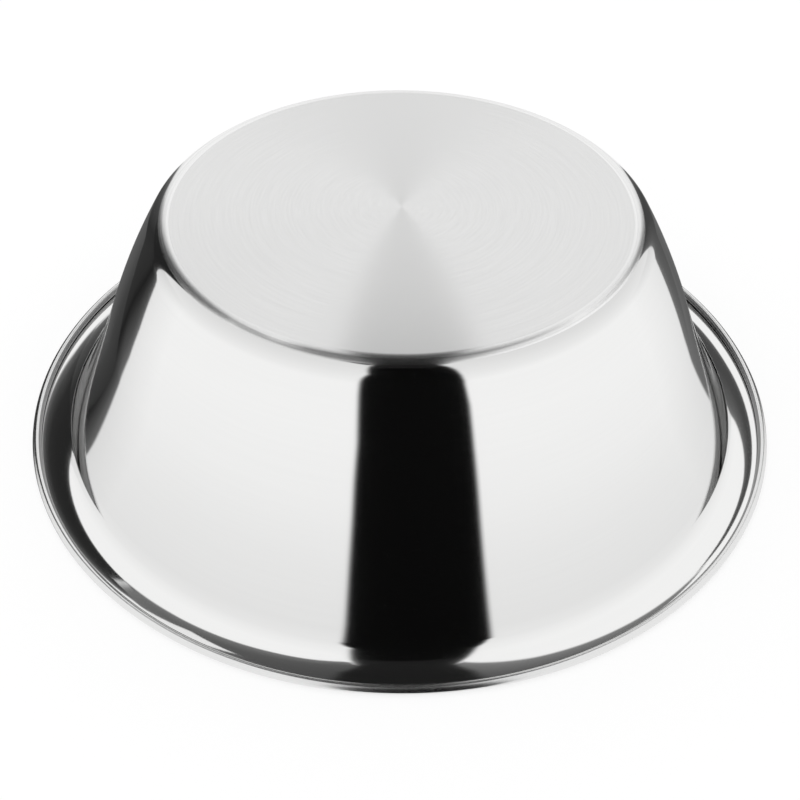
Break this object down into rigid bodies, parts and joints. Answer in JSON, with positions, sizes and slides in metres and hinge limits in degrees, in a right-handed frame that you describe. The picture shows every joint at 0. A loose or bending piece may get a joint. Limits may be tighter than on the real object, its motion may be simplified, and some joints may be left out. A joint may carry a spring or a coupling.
{
  "type": "metal pet bowl",
  "caption": "Round stainless-steel pet bowl, upside down on its rim: flat brushed base, polished flared wall, dished lip and curled bead.",
  "frame": {"origin": "centre of the circle that the rim rests on, in the plane of the mouth", "axes": "+Z along the bowl's axis from the mouth to the base. The bowl is stored upside down, as pictured; turn it half a turn about X for use"},
  "size_m": [0.26, 0.26, 0.082],
  "materials": {
    "stainless_steel": "polished wall and lip, satin brushed base"
  },
  "bodies": {
    "root": {"bowl_shell": "stainless_steel"}
  },
  "joints": []
}
